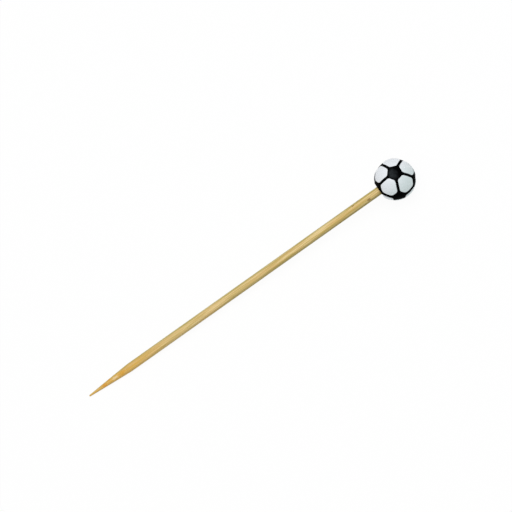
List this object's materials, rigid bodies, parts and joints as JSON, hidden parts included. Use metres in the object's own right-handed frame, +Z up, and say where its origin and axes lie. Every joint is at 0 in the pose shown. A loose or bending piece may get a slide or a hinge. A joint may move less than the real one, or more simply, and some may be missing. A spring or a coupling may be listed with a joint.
{
  "type": "cocktail pick",
  "caption": "Bamboo cocktail pick: a round stick sharpened at one end, with a small black-and-white football ball glued on its head, for party food and drinks.",
  "frame": {"origin": "middle of the bounding box, on the surface that the pick lies on", "axes": "+X along the pick from the sharpened point to the ball, +Z up; the pick lies on its ball and on the stick where its point begins"},
  "size_m": [0.1198, 0.0128, 0.0124],
  "materials": {
    "bamboo": "smooth unvarnished bamboo with fine lengthwise fibres",
    "white_ball": "satin white",
    "black_enamel": "soft gloss black",
    "set_glue": "dull, slightly yellow"
  },
  "bodies": {
    "root": {"bamboo_stick": "bamboo", "ball_bead": "white_ball", "black_enamel": "black_enamel", "glue_sleeve": "set_glue"}
  },
  "joints": []
}
